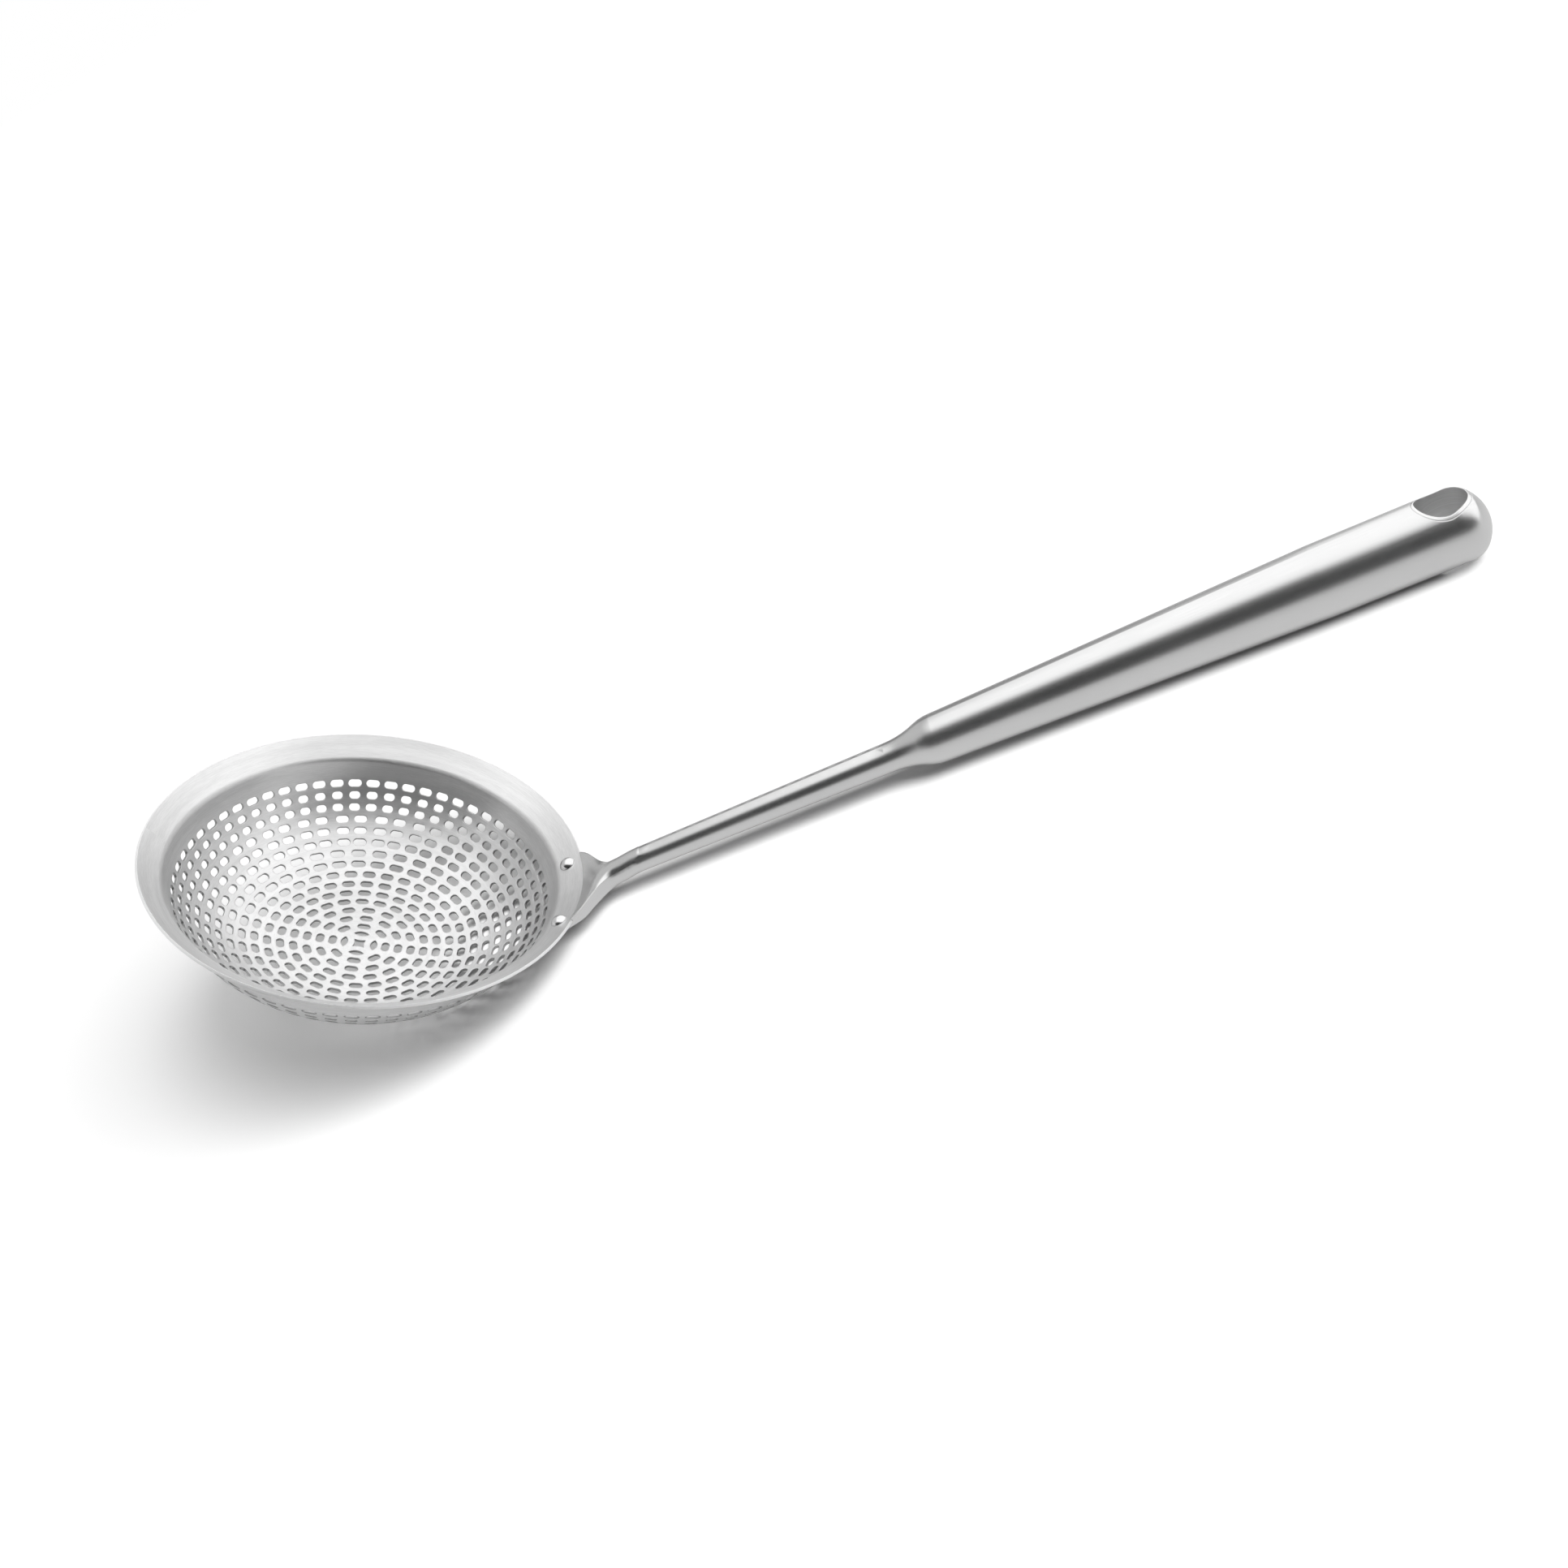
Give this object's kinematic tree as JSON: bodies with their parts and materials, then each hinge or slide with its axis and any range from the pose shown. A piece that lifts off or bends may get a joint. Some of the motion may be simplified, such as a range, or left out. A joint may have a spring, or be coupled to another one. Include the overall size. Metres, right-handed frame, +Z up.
{
  "type": "skimmer",
  "caption": "Slotted bowl skimmer with a sloping rim flange, a riveted tubular handle that widens into a grip, and a hanging hole.",
  "frame": {"origin": "middle of the foot of the bounding box, with the skimmer lying as it comes to rest", "axes": "+Z up; +X along the handle from the bowl to the hanging hole; XZ is the plane of symmetry"},
  "size_m": [0.3822, 0.131, 0.0849],
  "materials": {
    "bowl_steel": "satin, brushed around the rim",
    "handle_steel": "bright satin, brushed along its length",
    "sleeve_steel": "machined",
    "rivet_steel": "polished"
  },
  "bodies": {
    "root": {"bowl": "bowl_steel", "handle": "handle_steel", "hanging_sleeve": "sleeve_steel", "rivet_near": "rivet_steel", "rivet_far": "rivet_steel"}
  },
  "joints": []
}
